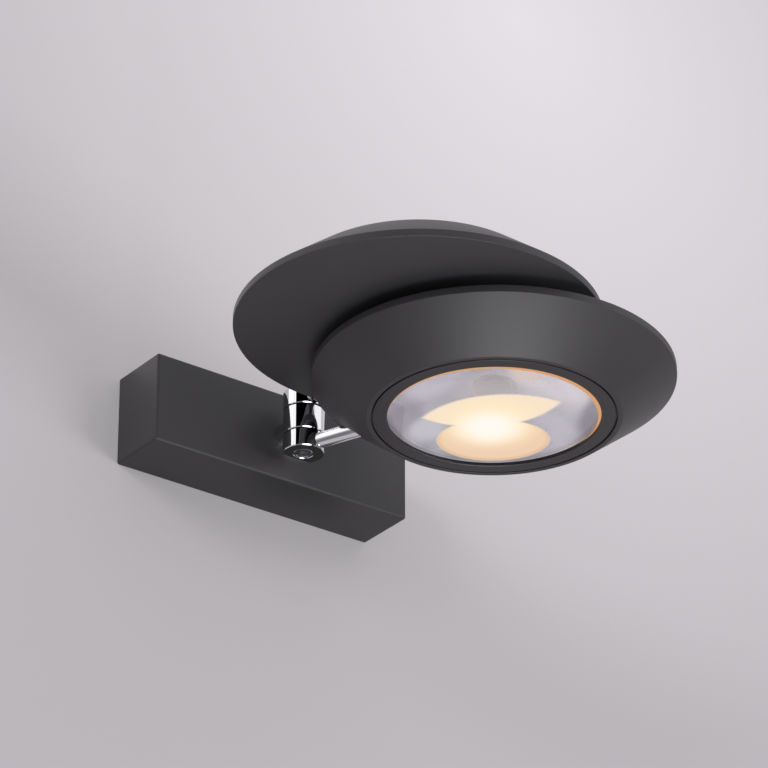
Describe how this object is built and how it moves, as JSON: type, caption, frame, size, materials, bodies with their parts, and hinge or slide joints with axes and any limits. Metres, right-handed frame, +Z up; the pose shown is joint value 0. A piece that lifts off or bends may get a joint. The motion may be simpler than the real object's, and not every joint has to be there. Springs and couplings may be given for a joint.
{
  "type": "wall light",
  "caption": "Up-and-down wall light: box canopy, chrome swivel knuckle and conical disc heads with round glass lenses, each turning on its own arm.",
  "frame": {"origin": "middle of the wall bracket's back, between the two wall-screw slots, on the wall's surface", "axes": "+Z up, +X along the wall to the right seen from the room, +Y into the wall; the heads stand out towards -Y"},
  "size_m": [0.2252, 0.2465, 0.0532],
  "materials": {
    "black_coat": "fine satin powder coat in near black on aluminium",
    "black_ring": "satin anodised aluminium, dark grey",
    "black_screw": "blackened steel",
    "chrome": "polished chrome plate",
    "steel_bolt": "turned stainless steel",
    "zinc_steel": "zinc-plated sheet steel",
    "brass": "plain turned brass",
    "black_rubber": "matt rubber",
    "driver_plastic": "moulded flame-retardant plastic, white",
    "terminal_plastic": "moulded nylon, ivory",
    "nylon": "black nylon washer",
    "lens_glass": "clear polished glass",
    "silicone": "matt black silicone",
    "reflector": "satin-anodised reflector",
    "heatsink": "die-cast aluminium",
    "board_white": "satin white solder mask on aluminium",
    "led_phosphor": "yellow phosphor layer"
  },
  "bodies": {
    "wall_mount": {"wall_bracket": "zinc_steel", "cable_grommet": "black_rubber", "canopy": "black_coat", "canopy_screws": "black_screw", "driver_case": "driver_plastic", "driver_lid": "driver_plastic", "terminal_block": "terminal_plastic", "earth_screw": "brass", "stem": "chrome", "stem_backing": "zinc_steel", "stem_washer": "zinc_steel", "stem_nut": "brass", "knuckle_middle": "chrome", "friction_washer_upper": "nylon", "friction_washer_lower": "nylon", "knuckle_bolt": "steel_bolt", "knuckle_nut": "steel_bolt"},
    "upper_head": {"upper_hub": "chrome", "upper_arm": "chrome", "upper_arm_nut": "zinc_steel", "upper_housing": "black_coat", "upper_back_plate": "black_coat", "upper_lens_ring": "black_ring", "upper_lens": "lens_glass", "upper_lens_gasket": "silicone", "upper_reflector": "reflector", "upper_heatsink": "heatsink", "upper_led_board": "board_white", "upper_led_chip": "led_phosphor"},
    "lower_head": {"lower_hub": "chrome", "lower_arm": "chrome", "lower_arm_nut": "zinc_steel", "lower_housing": "black_coat", "lower_back_plate": "black_coat", "lower_lens_ring": "black_ring", "lower_lens": "lens_glass", "lower_lens_gasket": "silicone", "lower_reflector": "reflector", "lower_heatsink": "heatsink", "lower_led_board": "board_white", "lower_led_chip": "led_phosphor"}
  },
  "joints": [
    {"name": "upper_swivel", "type": "hinge", "parent": "wall_mount", "child": "upper_head", "pos_m": [0, -0.051, 0], "axis": [0, 0, 1], "range_deg": [-39.5, 50.5]},
    {"name": "lower_swivel", "type": "hinge", "parent": "wall_mount", "child": "lower_head", "pos_m": [0, -0.051, 0], "axis": [0, 0, 1], "range_deg": [-66.5, 23.5]}
  ]
}
